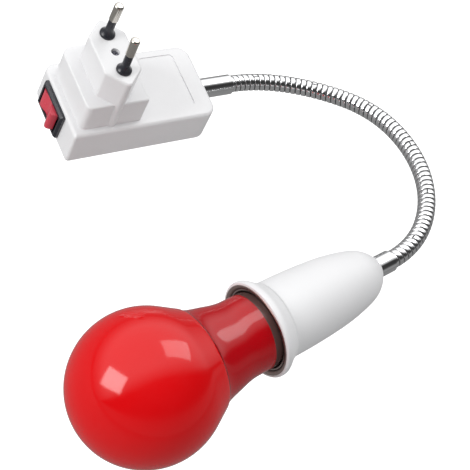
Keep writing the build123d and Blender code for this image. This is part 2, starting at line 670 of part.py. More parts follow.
def holder_bracket():
    """A steel strap on the ferrule's tail whose two feet carry the contact base."""
    thick, half_width, span = BRACKET_THICKNESS, BRACKET_WIDTH / 2, BRACKET_HALF_SPAN
    strap = block(-span, span, -half_width, half_width, REAR_WALL - thick, REAR_WALL)
    strap &= cylinder(REAR_WALL_R - 0.2, REAR_WALL - thick, REAR_WALL)
    strap -= cylinder(FERRULE_TAIL_R, REAR_WALL - thick, REAR_WALL)
    for side in (-1, 1):
        inner, outer = sorted((side * (span - thick), side * span))
        strap += block(inner, outer, -BRACKET_ARM / 2, BRACKET_ARM / 2, BASE_REAR, REAR_WALL)
        inner, outer = sorted((side * (span - thick), side * BRACKET_FOOT))
        strap += block(inner, outer, -BRACKET_ARM / 2, BRACKET_ARM / 2, BASE_REAR, BASE_REAR + thick)
        strap -= cylinder(BASE_SCREW_R, BASE_REAR, BASE_REAR + thick, x=side * BASE_SCREW_X)
    return LAMP.location * strap


def holder_lead(y, side):
    """A wire from a rivet's rear head to the end of the twin lead."""
    start = Vector(0, y, BASE_REAR + RIVET_HEAD)
    end = Vector(0, side * LEAD_SPREAD, REAR_WALL - 4.0)
    points = [start, (0, y, start.Z + 3), (0, side * LEAD_SPREAD, end.Z - 3.5), end]
    return LAMP.location * lead(points, SHORT_LEAD_BEND)


def lead_contact():
    return holder_lead(CONTACT_RIVET_Y, -1)


def lead_shell():
    return holder_lead(SHELL_RIVET_Y, 1)


def bulb_dome():
    """The red globe, with a straight taper from its tangent circle to the seam."""
    globe = ThreePointArc((0, -GLOBE_R), (GLOBE_R, 0), (TANGENT_R, GLOBE_TANGENT))
    sides = Polyline((TANGENT_R, GLOBE_TANGENT), (SEAM_R, SEAM), (0, SEAM), (0, -GLOBE_R))
    return LAMP.location * turned(Plane.XZ * (globe + sides))


def bulb_neck():
    """The crimson neck: a hollow curve from the seam to a slim throat, then in to the cap."""
    start_r = SEAM_R - SEAM_STEP
    throat, shoulder_start = (LAMP_NECK_R, THROAT), (LAMP_NECK_R, LAMP_SHOULDER)
    shoulder_end = (CAP_INNER_R + 0.8, CAP_START)
    curve = Spline((start_r, SEAM), NECK_CURVE_POINT, throat, tangents=((-0.62, 0.78), (0, 1)))
    shoulder = ThreePointArc(shoulder_start, LAMP_SHOULDER_POINT, shoulder_end)
    inside = Polyline(shoulder_end, (CAP_INNER_R, CAP_START), (CAP_INNER_R, CAP_THREAD_END),
                      (0, CAP_THREAD_END), (0, SEAM), (start_r, SEAM))
    outline = curve + Line(throat, shoulder_start) + shoulder + inside
    return LAMP.location * turned(Plane.XZ * outline)


def bulb_cap():
    """The screw cap, with a ring for each turn of its thread."""
    edge = [(CAP_INNER_R, CAP_START), (CAP_CREST_R - 0.2, CAP_START), (CAP_ROOT_R, CAP_THREAD_START - 0.6)]
    station = CAP_THREAD_START
    while station + CAP_PITCH < CAP_THREAD_END + 0.1:
        edge += [(CAP_ROOT_R, station), (CAP_CREST_R, station + 0.38 * CAP_PITCH),
                 (CAP_CREST_R, station + 0.62 * CAP_PITCH)]
        station += CAP_PITCH
    edge += [(CAP_ROOT_R, station), (9.0, CAP_END), (7.6, CAP_END), (CAP_INNER_R - 3.4, CAP_THREAD_END),
             (CAP_INNER_R, CAP_THREAD_END)]
    return LAMP.location * turned_points(*edge)


def cap_insulator():
    """The dark glass cone between the cap and its tip contact."""
    return LAMP.location * turned_points(
        (0, CAP_THREAD_END), (CAP_INNER_R - 3.4, CAP_THREAD_END), (7.6, CAP_END), (9.0, CAP_END),
        (TIP_R + 0.4, TIP_START), (0, TIP_START))


def tip_contact():
    """The tip contact, domed to a small flat that meets the spring strip."""
    dome = ThreePointArc((TIP_R, TIP_START), (TIP_R - 0.4, TIP_START + 1.0), (TIP_FLAT_R, LAMP_END))
    rest = Polyline((TIP_FLAT_R, LAMP_END), (0, LAMP_END), (0, TIP_START), (TIP_R, TIP_START))
    return LAMP.location * turned(Plane.XZ * (dome + rest))


def nodes():
    """Every sub-part by its name."""
    made = {
        "plug_housing": plug_housing(), "back_cover": back_cover(), "housing_screw": housing_screw(),
        "line_pin": pin(-1), "neutral_pin": pin(1),
        "line_pin_sleeve": pin_sleeve(-1), "neutral_pin_sleeve": pin_sleeve(1),
        "switch_frame": switch_frame(), "switch_rocker": switch_rocker(),
        "switch_terminal_line": switch_terminal(1), "switch_terminal_load": switch_terminal(-1),
        "lead_line": lead_line(), "lead_switched": lead_switched(), "lead_neutral": lead_neutral(),
        "plug_ferrule": plug_ferrule(), "plug_nut": plug_nut(),
        "holder_ferrule": holder_ferrule(), "holder_nut": holder_nut(), "holder_bracket": holder_bracket(),
        "holder_shell": holder_shell(), "contact_base": contact_base(), "screw_shell": screw_shell(),
        "centre_contact": centre_contact(), "contact_rivets": contact_rivets(), "base_screws": base_screws(),
        "lead_contact": lead_contact(), "lead_shell": lead_shell(),
        "bulb_dome": bulb_dome(), "bulb_neck": bulb_neck(), "bulb_cap": bulb_cap(),
        "cap_insulator": cap_insulator(), "tip_contact": tip_contact(),
    }
    for index in range(len(NECK)):
        made[f"neck_span_{index + 1}"] = neck_span(index)
        made[f"neck_flex_{index + 1}"] = neck_flex(index)
    return made


def main():
    os.makedirs("parts", exist_ok=True)
    lowered = Pos(0, 0, -NOSE_TOP)
    for name, shape in nodes().items():
        export_step(lowered * shape, f"parts/{name}.step")
    for stretch in NECK:
        end = stretch.point(stretch.length)
        print(f"neck station {end.X:.2f} {end.Y:.2f} {end.Z:.2f}, bend radius {stretch.radius:.1f}")
    print(f"neck height {NECK_Z:.2f}, globe centre {tuple(round(v, 2) for v in GLOBE_CENTRE)}")


main()
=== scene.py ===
import json
from math import atan2, cos, pi, radians, sin, sqrt

import bpy
from mathutils import Matrix, Quaternion, Vector


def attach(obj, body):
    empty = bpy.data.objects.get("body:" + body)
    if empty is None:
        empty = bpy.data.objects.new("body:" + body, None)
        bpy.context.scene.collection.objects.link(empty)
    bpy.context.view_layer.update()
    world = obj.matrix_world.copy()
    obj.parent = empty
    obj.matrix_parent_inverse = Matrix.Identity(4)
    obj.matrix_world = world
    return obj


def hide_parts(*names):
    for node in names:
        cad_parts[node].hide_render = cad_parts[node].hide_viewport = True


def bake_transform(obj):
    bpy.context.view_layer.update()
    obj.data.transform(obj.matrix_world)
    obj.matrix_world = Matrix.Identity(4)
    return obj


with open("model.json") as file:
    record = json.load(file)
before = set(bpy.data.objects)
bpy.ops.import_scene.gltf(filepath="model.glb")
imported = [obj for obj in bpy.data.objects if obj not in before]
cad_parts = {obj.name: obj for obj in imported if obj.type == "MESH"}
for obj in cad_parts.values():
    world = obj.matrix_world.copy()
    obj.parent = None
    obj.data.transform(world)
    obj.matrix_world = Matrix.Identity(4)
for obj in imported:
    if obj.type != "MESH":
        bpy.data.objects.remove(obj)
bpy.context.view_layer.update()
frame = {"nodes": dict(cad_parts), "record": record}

# Lengths are in millimetres and angles in degrees, unless a comment says otherwise.
MM = 0.001
NODES = frame["nodes"]

# The row's origin is on the plug face. Heights below are from the adapter's back, as in the CAD source.
PLUG_FACE = 47.3

# Camera, as solved from the photograph, with its range in metres
IMAGE_SIDE = 470
FOCAL_PIXELS = 1100.0
SENSOR_WIDTH = 36.0
CAMERA_PLACE = Vector((-197.3, -239.5, 391.6 - PLUG_FACE)) * MM
CAMERA_RIGHT = Vector((0.8465, -0.4024, 0.3486))
CAMERA_UP = Vector((0.203, 0.8493, 0.4873))
CAMERA_BACK = Vector((-0.4922, -0.3418, 0.8006))
CAMERA_RANGE = (0.01, 20.0)

# Neck centre line, as in the CAD source
NECK_START = Vector((70.9, 0.0, 8.88 - PLUG_FACE))
NECK_STRETCH = 29.2
NECK_HEADINGS = (0, -30, -55, -84, -109, -137, -171)
NECK_CLIMBS = (0, 12.5, 20.5, 14.5, 8.5, 3.0, -3.8)
NECK_BODIES = ("adapter", "neck_2", "neck_3", "neck_4", "neck_5", "holder")

# Wound tube: its radius, turns in a stretch and their pitch, turns inside each ferrule, and steps round it
NECK_R = 4.0
NECK_TURNS = 11
TURN_PITCH = NECK_STRETCH / NECK_TURNS
FERRULE_TURNS = 3
ROUND_STEPS = 48

# Half of one wound strip, from its groove's middle to its own: share of the pitch, depth and groove shade
STRIP_HALF = (
    (0.0, 0.55, 1.0), (0.06, 0.34, 0.75), (0.12, 0.12, 0.15),
    (0.18, 0.03, 0.0), (0.34, 0.0, 0.0), (0.5, 0.0, 0.0),
)

# Twin lead inside the tube
FLEX_R = 1.7
FLEX_STEPS = 16
FLEX_ROWS = 24

# Globe, with its centre's distance from the end of the neck's line. Stations on the lamp and on the
# holder are distances from that centre towards the neck.
GLOBE_TO_LINE = 123.3
GLOBE_R = 30.0
TAPER_START = 15.0
SEAM = 22.7
LATHE_STEPS = 144
GLOBE_ROWS = 60
TAPER_ROWS = 6

# The globe's rolled edge, as (along, out) from where its taper meets the seam
GLOBE_EDGE = ((-0.35, 0.2), (-0.12, -0.02), (0.0, -0.3))

# Lamp's neck: painted shade in the seam, with its reach from the seam and its strength, and the coating's end
SEAM_SHADE_FROM = 0.1
SEAM_SHADE_TO = 0.9
SEAM_SHADE_SHARE = 0.85
SEAM_SHADE_COLOUR = (0.06, 0.0, 0.001)
COATING_END = 48.7
COATING_BLUR = 0.15
# Colour past the coating's end: an uncoated collar, darkened with painted shade from inside the holder's
# mouth
BARE_SHADED_COLLAR_COLOUR = (0.1, 0.055, 0.05)

# Holder's rim, and the sections of the two rings at its mouth, as (along, out) from the rim's outer edge
RIM = 51.0
RIM_R = 19.9
LIP_SECTION = (
    (0.1, -0.6), (-0.3, -0.6), (-0.35, -1.6), (0.5, -2.6), (1.5, -2.8), (1.6, -2.4), (0.4, -1.6),
)
COLLAR_SECTION = (
    (-0.05, -0.5), (-0.1, 0.2), (0.8, 0.6), (2.4, 0.5), (4.2, -0.9), (6.5, -2.5), (10.0, -3.9), (1.5, -1.6),
)

# Switch face, in the drafted end of the adapter's box
BOX_END = -18.5
BOX_DRAFT = 1.8
SWITCH_ASIDE = 1.8
SWITCH_HEIGHT = 8.7
SWITCH_PLACE = Vector((
    BOX_END + SWITCH_HEIGHT * sin(radians(BOX_DRAFT)), SWITCH_ASIDE, SWITCH_HEIGHT - PLUG_FACE,
))
SWITCH_OUT = Vector((-cos(radians(BOX_DRAFT)), 0, sin(radians(BOX_DRAFT))))
SWITCH_ALONG = Vector((0, -1, 0))
SWITCH_ACROSS = SWITCH_OUT.cross(SWITCH_ALONG)

# Rocker in its side view, with heights from the switch face. The crest, the valley and the skirt are
# measured from the bezel.
BEZEL_PROUD = 2.0
ROCKER_HALF = 7.5
ROCKER_HALF_WIDTH = 5.1
ROCKER_CREST = 1.6
ROCKER_CREST_AT = 6.0
ROCKER_VALLEY = -0.5
ROCKER_SKIRT = -1.8
ROCKER_FLARE = 0.1
ROCKER_FULLNESS = 0.7
ROCKER_HUB_HALF = 2.6
ROCKER_HUB_DEPTH = 2.2
ROCKER_PIVOT_DEPTH = 2.0
ROCKER_TILT = 11.0
HOLLOW_STEPS = 24
SHOULDER_STEPS = 8

# Pin sleeves, along each pin from the plug face
SLEEVE_R = 1.75
SLEEVE_BORE_R = 1.3
SLEEVE_REACH = 10.0
SLEEVE_EDGE = 0.15
SLEEVE_SEAT_R = 2.85
SLEEVE_SEAT_DEPTH = 2.0
SLEEVE_SEAT_TOP = 0.02
SLEEVE_FOOT_R = 3.35
SLEEVE_FOOT_BASE = 0.05
SLEEVE_STEPS = 48

# The sleeve's conical foot: height above the plug face, and how much wider it is than the sleeve
SLEEVE_CONE = ((0.7, 1.6), (1.1, 1.35), (1.5, 0.9), (2.2, 0.55), (3.0, 0.15), (3.8, 0.0))

# Edges that are sharper than this stay sharp in shading.
SHARP_ANGLE = 40

# A direction that no lathed piece points in, from which its section's directions are worked out
ASIDE = Vector((0, 1, 1))

# Softboxes, in metres and watts: the way to each from the globe, and the way that its width lies
SOFTBOX_DISTANCE = 1.6
KEY = {"way": (-0.849, 0.217, 0.481), "size": (0.93, 0.69), "wide": (0.095, -0.453, 0.357), "watts": 13.0}
FILL = {"way": (0.587, 0.344, 0.731), "size": (0.98, 0.68), "wide": (0.6, -0.2, -0.27), "watts": 5.7}

# World's levels, each as where a smooth step starts and ends and its levels there. The sky lights the
# part, by height and by depth. Gloss shows a room instead: dim in front, with a bright wall behind that
# rises from a dim foot.
WHITE_LEVEL = 1.0
SKY_BY_HEIGHT = (0.0, 1.0, 0.2, 0.98)
SKY_BY_DEPTH = (-0.6, 0.6, -0.11, 0.07)
ROOM_FRONT_BY_HEIGHT = (0.0, 0.7, 0.28, 0.12)
ROOM_WALL_BY_DEPTH = (-0.35, 0.2, 0.0, 1.25)
ROOM_WALL_BY_HEIGHT = (-0.05, 0.35, 0.28, 1.0)

# The room's dark strip: high in front, from side to side, by the cosine of the angle from its middle
# once the sideways part of a direction is left out
STRIP_WAY = (0.0, -0.64, 0.77)
NO_SIDEWAYS = (0.0, 1.0, 1.0)
STRIP_LEVELS = (cos(radians(32)), cos(radians(8)), 1.0, 0.3)

# Floor: how far it lies below the adapter's back, and what it adds for the camera to read as white
FLOOR_DROP = 130.0
FLOOR_HALF = 4000.0
FLOOR_LIFT = 0.7
PAPER_DARK = (0.62, 0.62, 0.62)
PAPER_LIGHT = (0.64, 0.64, 0.64)
PAPER_IN_GLOSS = (0.24, 0.24, 0.24)
PAPER_GRAIN_SCALE = 30.0
PAPER_ROUGHNESS = 0.9


def direction(heading, climb):
    """The way of a heading and a climb."""
    level = cos(radians(climb))
    return Vector((cos(radians(heading)) * level, sin(radians(heading)) * level, sin(radians(climb))))


class NeckLine:
    """The neck's centre line: arcs of equal length, with a cross direction carried along without twist."""

    def __init__(self):
        ways = [direction(heading, climb) for heading, climb in zip(NECK_HEADINGS, NECK_CLIMBS)]
        self.arcs = []
        start, cross = NECK_START, Vector((0, 0, 1))
        for first, last in zip(ways, ways[1:]):
            axis = first.cross(last).normalized()
            angle = first.angle(last)
            self.arcs.append((start, first, cross, axis, angle))
            cross = Quaternion(axis, angle) @ cross
            start = self.place(len(self.arcs) * NECK_STRETCH)[0]
        self.length = len(self.arcs) * NECK_STRETCH

    def place(self, distance):
        """Centre, direction and cross direction at a distance, straight on past both ends."""
        index = min(max(int(distance // NECK_STRETCH), 0), len(self.arcs) - 1)
        start, first, cross, axis, angle = self.arcs[index]
        along = distance - index * NECK_STRETCH
        inside = min(max(along, 0.0), NECK_STRETCH)
        radius = NECK_STRETCH / angle
        turn = inside / radius
        rotation = Quaternion(axis, turn)
        inward = axis.cross(first)
        centre = start + first * (radius * sin(turn)) + inward * (radius * (1 - cos(turn)))
        tangent = rotation @ first
        return centre + tangent * (along - inside), tangent, rotation @ cross


LINE = NeckLine()
LAMP_WAY = direction(NECK_HEADINGS[-1], NECK_CLIMBS[-1])
GLOBE_CENTRE = LINE.place(LINE.length)[0] + LAMP_WAY * GLOBE_TO_LINE


# Meshes

def new_object(name, vertices, faces, smooth=True):
    """A mesh object from vertices in millimetres."""
    mesh = bpy.data.meshes.new(name)
    mesh.from_pydata([Vector(v) * MM for v in vertices], [], faces)
    mesh.validate()
    mesh.update()
    if smooth:
        mesh.shade_smooth()
    made = bpy.data.objects.new(name, mesh)
    bpy.context.scene.collection.objects.link(made)
    return made


def circle(centre, level, upright, radius, steps):
    """Places round a circle, from its level direction towards its upright one."""
    turns = [2 * pi * step / steps for step in range(steps)]
    return [centre + (level * cos(turn) + upright * sin(turn)) * radius for turn in turns]


def skin(low, high):
    """Faces between two rings of vertices, either of which may be one pole."""
    steps = max(len(low), len(high))
    faces = []
    for step in range(steps):
        onward = (step + 1) % steps
        if len(low) == 1:
            faces.append((low[0], high[onward], high[step]))
        elif len(high) == 1:
            faces.append((low[step], low[onward], high[0]))
        else:
            faces.append((low[step], low[onward], high[onward], high[step]))
    return faces


def loft(name, rings, closed=False):
    """A mesh object through rings of places, with the last joined to the first if it is closed."""
    vertices, rows = [], []
    for places in rings:
        rows.append(range(len(vertices), len(vertices) + len(places)))
        vertices += places
    following = rows[1:] + rows[:1] if closed else rows[1:]
    faces = [face for low, high in zip(rows, following) for face in skin(low, high)]
    return new_object(name, vertices, faces)


def lathe(name, outline, closed=False, steps=LATHE_STEPS, centre=GLOBE_CENTRE, axis=-LAMP_WAY):
    """Turns (station, radius) points about an axis. A radius of 0 is a pole, and a closed ring has none."""
    level = axis.cross(ASIDE).normalized()
    upright = level.cross(axis)
    rings = []
    for station, radius in outline:
        middle = centre + axis * station
        rings.append(circle(middle, level, upright, radius, steps) if radius else [middle])
    return loft(name, rings, closed)


def subdivide_once(piece):
    """Rounds a coarse form by one level of subdivision."""
    modifier = piece.modifiers.new("round", "SUBSURF")
    modifier.levels = modifier.render_levels = 1


def keep_sharp_edges(piece):
    """Shades a piece smooth, apart from its sharp edges."""
    piece.data.set_sharp_from_angle(angle=radians(SHARP_ANGLE))


def dress(obj, material):
    """Gives an object one material."""
    obj.data.materials.clear()
    obj.data.materials.append(material)


# Nodes of materials and of the world

# Noise: its roughness, and the part of its values that is spread over a range
NOISE_ROUGHNESS = 0.55
NOISE_SPREAD = (0.3, 0.7)


class Graph:
    """The nodes of a material or of the world."""

    def __init__(self, owner):
        owner.use_nodes = True
        self.nodes = owner.node_tree.nodes
        self.links = owner.node_tree.links

    def feed(self, socket, value):
        """Links a socket to another node's output, or sets it to a fixed value or an opaque colour."""
        if isinstance(value, bpy.types.NodeSocket):
            self.links.new(value, socket)
        elif socket.type == "RGBA":
            socket.default_value = (*value, 1)
        else:
            socket.default_value = value

    def add(self, kind, inputs=None, **settings):
        """The outputs of a new node, with its settings and then its inputs filled in."""
        node = self.nodes.new(kind)
        for name, value in settings.items():
            setattr(node, name, value)
        for name, value in (inputs or {}).items():
            self.feed(node.inputs[name], value)
        return node.outputs

    def object_place(self):
        """The place on the object, in the row frame's metres."""
        return self.add("ShaderNodeTexCoord")["Object"]

    def noise(self, scale, detail=3.0):
        """Cloudy noise over the object, with its scale as clouds a metre."""
        place = self.object_place()
        inputs = {"Vector": place, "Scale": scale, "Detail": detail, "Roughness": NOISE_ROUGHNESS}
        return self.add("ShaderNodeTexNoise", inputs)["Fac"]

    def ranged(self, source, start, end, low, high, interpolation="LINEAR"):
        """Maps a value on to another range, and holds it at the range's ends."""
        inputs = {"Value": source, "From Min": start, "From Max": end, "To Min": low, "To Max": high}
        return self.add("ShaderNodeMapRange", inputs, interpolation_type=interpolation)["Result"]

    def graded(self, source, start, end, low, high):
        """A smooth step of a value from one level to another."""
        return self.ranged(source, start, end, low, high, "SMOOTHSTEP")

    def uneven(self, source, low, high):
        """Spreads noise over a range."""
        return self.ranged(source, *NOISE_SPREAD, low, high)

    def mixed(self, share, first, second, kind="RGBA"):
        """A colour between two by a share from 0 to 1, or a value where the kind is FLOAT."""
        return self.add("ShaderNodeMix", {"Factor": share, "A": first, "B": second}, data_type=kind)["Result"]

    def joined(self, operation, first, second):
        """Two values put together by a math operation."""
        return self.add("ShaderNodeMath", {0: first, 1: second}, operation=operation)["Value"]

    def along(self, place, way):
        """How far a place lies along a direction."""
        return self.add("ShaderNodeVectorMath", {0: place, 1: way}, operation="DOT_PRODUCT")["Value"]


class Finish(Graph):
    """A new material with its shader."""

    def __init__(self, name):
        self.material = bpy.data.materials.new(name)
        super().__init__(self.material)
        self.shader = self.nodes["Principled BSDF"]

    def set(self, name, value):
        """Sets one of the shader's sockets, or links a node's output to it."""
        self.feed(self.shader.inputs[name], value)

    def bump(self, source, height):
        """A relief of a height in metres."""
        self.set("Normal", self.add("ShaderNodeBump", {"Height": source, "Distance": height})["Normal"])


# Materials, with the scales of their noise as clouds a metre, and heights of relief in metres

PLASTIC_FLOW_SCALE = 55.0
PLASTIC_PATCH_SCALE = 140.0
PLASTIC_GRAIN_SCALE = 2400.0
PLASTIC_GRAIN_HEIGHT = 0.000004
CLEAR_COAT_ROUGHNESS = 0.05

METAL_CLOUD_SCALE = 220.0
METAL_GRAIN_SCALE = 2640.0
METAL_GRAIN_HEIGHT = 0.000002

WOUND_CLOUD_SCALE = 300.0
WOUND_DARK = (0.84, 0.85, 0.86)
WOUND_LIGHT = (0.94, 0.94, 0.95)
WOUND_GLOSS = 0.09
# Down in the wound tube's groove: painted shade, and a duller gloss
GROOVE_SHADE_COLOUR = (0.025, 0.025, 0.028)
GROOVE_GLOSS = 0.6

LAMP_CLOUD_SCALE = 40.0
LAMP_PATCH_SCALE = 90.0
LAMP_PATCH_GLOSS = 0.06
LAMP_PEEL_SCALE = 260.0
LAMP_PEEL_HEIGHT = 0.000006


def moulded(name, dark, light, gloss=(0.28, 0.36), coat=0.0):
    """Moulded plastic: faint flow marks in its colour, uneven gloss and a fine grain."""
    finish = Finish(name)
    finish.set("Base Color", finish.mixed(finish.noise(PLASTIC_FLOW_SCALE, detail=4.0), dark, light))
    finish.set("Roughness", finish.uneven(finish.noise(PLASTIC_PATCH_SCALE, detail=2.0), *gloss))
    finish.bump(finish.noise(PLASTIC_GRAIN_SCALE, detail=2.0), PLASTIC_GRAIN_HEIGHT)
    finish.set("Coat Weight", coat)
    finish.set("Coat Roughness", CLEAR_COAT_ROUGHNESS)
    return finish.material


def metal(name, dark, light, gloss):
    """Plated or drawn metal with slightly uneven gloss."""
    finish = Finish(name)
    clouds = finish.noise(METAL_CLOUD_SCALE, detail=4.0)
    finish.set("Metallic", 1.0)
    finish.set("Base Color", finish.mixed(clouds, dark, light))
    finish.set("Roughness", finish.uneven(clouds, *gloss))
    finish.bump(finish.noise(METAL_GRAIN_SCALE, detail=2.0), METAL_GRAIN_HEIGHT)
    return finish.material


def wound_chrome():
    """Chrome of the wound tube: bright on the strips, with painted shade and duller metal down in the groove.
    """
    finish = Finish("wound_chrome")
    depth = finish.add("ShaderNodeAttribute", attribute_name="groove")["Fac"]
    bright = finish.mixed(finish.noise(WOUND_CLOUD_SCALE), WOUND_DARK, WOUND_LIGHT)
    finish.set("Metallic", 1.0)
    # The groove attribute darkens the base colour with painted shade
    finish.set("Base Color", finish.mixed(depth, bright, GROOVE_SHADE_COLOUR))
    finish.set("Roughness", finish.ranged(depth, 0.0, 1.0, WOUND_GLOSS, GROOVE_GLOSS))
    return finish.material


def coating_colour(finish, dark, light):
    """The slightly uneven colour of the lamp's coating."""
    return finish.mixed(finish.noise(LAMP_CLOUD_SCALE), dark, light)


def coating_gloss(finish, roughness):
    """The gloss of the lamp's coating, with a very slight orange peel."""
    patches = finish.noise(LAMP_PATCH_SCALE, detail=2.0)
    finish.set("Roughness", finish.uneven(patches, roughness, roughness + LAMP_PATCH_GLOSS))
    finish.bump(finish.noise(LAMP_PEEL_SCALE, detail=1.0), LAMP_PEEL_HEIGHT)


def lamp_red():
    """The globe's red coating."""
    finish = Finish("lamp_red")
    finish.set("Base Color", coating_colour(finish, (0.68, 0.0015, 0.003), (0.74, 0.0025, 0.005)))
    coating_gloss(finish, roughness=0.07)
    return finish.material


def station_level(station):
    """A station on the lamp, in metres along its axis from the row's origin."""
    return (station - GLOBE_CENTRE.dot(LAMP_WAY)) * MM


def lamp_crimson():
    """The neck's crimson coating, with painted shade in the seam. It ends at an uncoated collar before the
    holder's mouth, darkened with painted shade.
    """
    finish = Finish("lamp_crimson")
    level = finish.along(finish.object_place(), -LAMP_WAY)
    seam_shade_from, seam_shade_to = station_level(SEAM + SEAM_SHADE_FROM), station_level(SEAM + SEAM_SHADE_TO)
    bare_and_shaded_from, bare_and_shaded_to = station_level(COATING_END - COATING_BLUR), station_level(COATING_END + COATING_BLUR)
    colour = coating_colour(finish, (0.42, 0.001, 0.004), (0.5, 0.0015, 0.007))
    # Painted shade in the seam between the globe and the neck
    line = finish.graded(level, seam_shade_from, seam_shade_to, SEAM_SHADE_SHARE, 0.0)
    colour = finish.mixed(line, colour, SEAM_SHADE_COLOUR)
    # Past the coating's end, an uncoated collar whose colour is darkened with painted shade
    bare_and_shaded = finish.graded(level, bare_and_shaded_from, bare_and_shaded_to, 0.0, 1.0)
    finish.set("Base Color", finish.mixed(bare_and_shaded, colour, BARE_SHADED_COLLAR_COLOUR))
    coating_gloss(finish, roughness=0.09)
    return finish.material


WHITE = moulded("white_plastic", (0.80, 0.80, 0.81), (0.84, 0.84, 0.85))
SHELL_WHITE = moulded("shell_white", (0.80, 0.80, 0.81), (0.84, 0.84, 0.85), gloss=(0.52, 0.6))
BLACK = moulded("black_plastic", (0.017, 0.018, 0.024), (0.027, 0.028, 0.037), gloss=(0.22, 0.32))
ROCKER_RED = moulded("rocker_red", (0.62, 0.045, 0.075), (0.72, 0.06, 0.095), gloss=(0.2, 0.3), coat=0.3)
BASE_GREY = moulded("base_grey", (0.26, 0.25, 0.23), (0.34, 0.33, 0.31), gloss=(0.5, 0.6))
VITREOUS = moulded("vitreous_black", (0.01, 0.01, 0.012), (0.02, 0.018, 0.018), gloss=(0.08, 0.14), coat=0.5)
BROWN = moulded("brown_wire", (0.15, 0.055, 0.02), (0.2, 0.075, 0.03), gloss=(0.4, 0.5))
BLUE = moulded("blue_wire", (0.02, 0.07, 0.3), (0.03, 0.1, 0.38), gloss=(0.4, 0.5))
SHEATH = moulded("flex_sheath", (0.6, 0.6, 0.6), (0.68, 0.68, 0.67), gloss=(0.45, 0.55))
LAMP_RED = lamp_red()
LAMP_CRIMSON = lamp_crimson()
NICKEL = metal("nickel", (0.62, 0.58, 0.52), (0.76, 0.73, 0.68), gloss=(0.14, 0.24))
CHROME = metal("chrome", (0.84, 0.85, 0.86), (0.92, 0.92, 0.93), gloss=(0.04, 0.09))
ZINC = metal("zinc_steel", (0.5, 0.51, 0.52), (0.66, 0.66, 0.65), gloss=(0.28, 0.42))
BRASS = metal("brass", (0.62, 0.42, 0.16), (0.78, 0.58, 0.27), gloss=(0.18, 0.3))
CAP_METAL = metal("cap_metal", (0.62, 0.62, 0.61), (0.78, 0.78, 0.77), gloss=(0.2, 0.32))
SOCKET_METAL = metal("socket_metal", (0.42, 0.33, 0.31), (0.56, 0.45, 0.42), gloss=(0.25, 0.4))
DARK_SCREW = metal("dark_screw", (0.14, 0.14, 0.17), (0.24, 0.24, 0.28), gloss=(0.3, 0.45))
WOUND = wound_chrome()

# The CAD nodes that no piece replaces
CARRIED = {
    "plug_housing": WHITE, "back_cover": WHITE, "holder_shell": SHELL_WHITE,
    "housing_screw": DARK_SCREW, "line_pin": NICKEL, "neutral_pin": NICKEL,
    "switch_frame": BLACK, "switch_terminal_line": BRASS, "switch_terminal_load": BRASS,
    "lead_line": BROWN, "lead_switched": BROWN, "lead_neutral": BLUE,
    "plug_ferrule": CHROME, "plug_nut": ZINC, "holder_ferrule": CHROME, "holder_nut": ZINC,
    "holder_bracket": ZINC, "contact_base": BASE_GREY, "screw_shell": SOCKET_METAL, "centre_contact": BRASS,
    "contact_rivets": BRASS, "base_screws": ZINC, "lead_contact": BROWN, "lead_shell": BLUE,
    "bulb_neck": LAMP_CRIMSON, "bulb_cap": CAP_METAL, "cap_insulator": VITREOUS, "tip_contact": BRASS,
}


def dress_carried_nodes():
    """Gives the nodes that no piece replaces their materials."""
    for name, material in CARRIED.items():
        dress(NODES[name], material)


# Neck

def strip_profile():
    """Share of the pitch, radius and groove shade across one wound strip, up to the next groove."""
    back = [(1 - share, depth, shade) for share, depth, shade in STRIP_HALF[-2:0:-1]]
    return [(share, NECK_R - depth, shade) for share, depth, shade in (*STRIP_HALF, *back)]


def wound_tube(name, first_turn, last_turn):
    """A helically wound stretch of the neck. A row round it ends one pitch on, where another row starts."""
    profile = strip_profile()
    turns = range(first_turn, last_turn)
    rows = [(turn + share, radius, shade) for turn in turns for share, radius, shade in profile]
    rows.append((last_turn, *profile[0][1:]))
    vertices, shades = [], []
    for station, radius, shade in rows:
        for step in range(ROUND_STEPS):
            turn = 2 * pi * step / ROUND_STEPS
            # A row starts half a pitch before its station and ends half a pitch after it.
            shift = step / ROUND_STEPS - 0.5
            centre, tangent, cross = LINE.place((station + shift) * TURN_PITCH)
            side = tangent.cross(cross)
            vertices.append(centre + (cross * cos(turn) + side * sin(turn)) * radius)
            shades.append(shade)
    tube = new_object(name, vertices, helical_faces(len(rows), len(profile)))
    attribute = tube.data.attributes.new("groove", "FLOAT", "POINT")
    attribute.data.foreach_set("value", shades)
    dress(tube, WOUND)
    return tube


def helical_faces(rows, rows_in_pitch):
    """Faces between rows round a helix, where a row's last vertex meets the first one of a pitch later."""
    faces = []
    for row in range(rows - 1):
        for step in range(ROUND_STEPS):
            low = row * ROUND_STEPS + step
            onward = low + 1 if step < ROUND_STEPS - 1 else (row + rows_in_pitch) * ROUND_STEPS
            if onward + ROUND_STEPS < rows * ROUND_STEPS:
                faces.append((low, onward, onward + ROUND_STEPS, low + ROUND_STEPS))
    return faces


def flex_tube(name, first_turn, last_turn):
    """The twin lead's sheath inside a stretch of the neck."""
    rings = []
    for row in range(FLEX_ROWS + 1):
        turn = first_turn + (last_turn - first_turn) * row / FLEX_ROWS
        centre, tangent, cross = LINE.place(turn * TURN_PITCH)
        rings.append(circle(centre, cross, tangent.cross(cross), FLEX_R, FLEX_STEPS))
    flex = loft(name, rings)
    dress(flex, SHEATH)
    return flex


